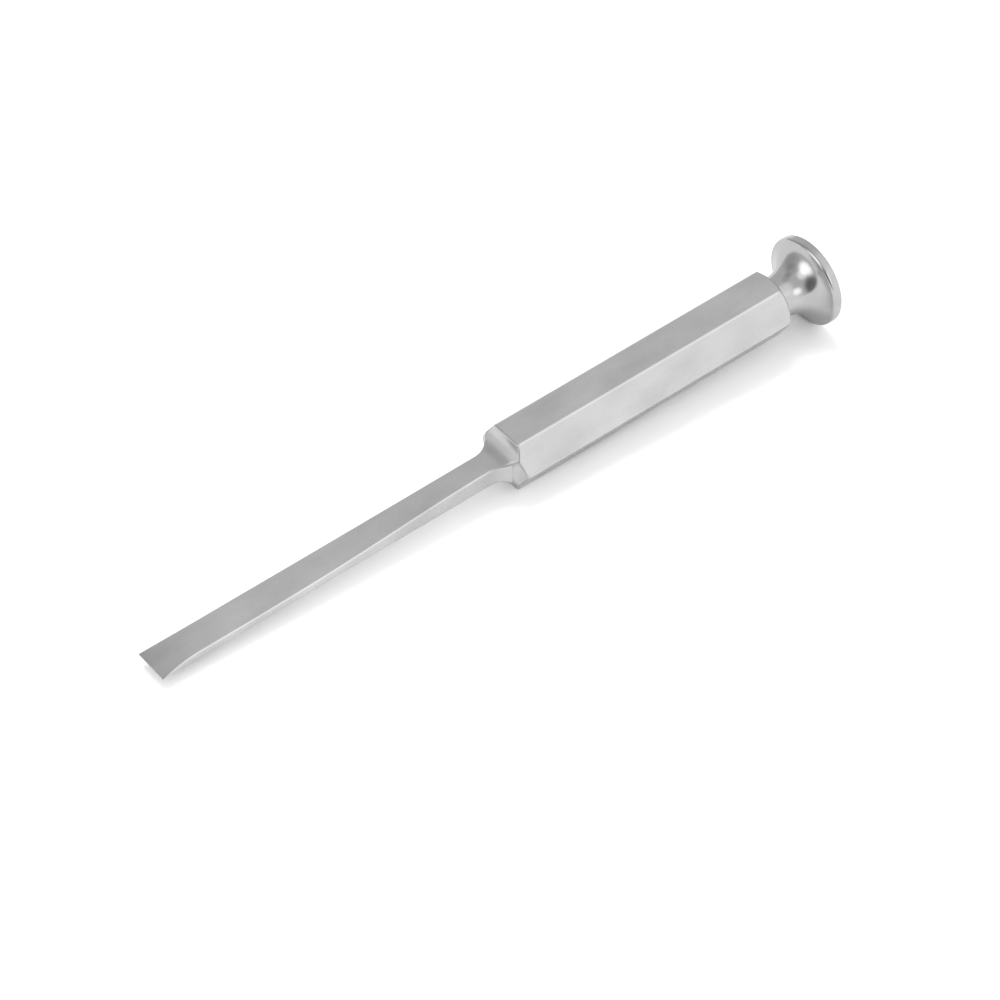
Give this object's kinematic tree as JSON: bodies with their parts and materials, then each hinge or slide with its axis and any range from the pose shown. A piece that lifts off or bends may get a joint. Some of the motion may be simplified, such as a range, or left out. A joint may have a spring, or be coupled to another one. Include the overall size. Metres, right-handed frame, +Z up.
{
  "type": "osteotome",
  "caption": "One-piece steel osteotome: slim wedge blade with a straight double-bevelled edge, hexagonal handle and a trumpet-shaped striking head.",
  "frame": {"origin": "on the surface the tool lies on, under the middle of its length", "axes": "+X from the cutting edge to the striking head along the surface, +Z up, -Y towards the side the picture shows; the tool's own axis rises from tip to head by 2.6 degrees"},
  "size_m": [0.1652, 0.0198, 0.0198],
  "materials": {
    "stainless_steel": "fine satin on the blade and the handle, polished on the turned head"
  },
  "bodies": {
    "root": {"osteotome": "stainless_steel"}
  },
  "joints": []
}
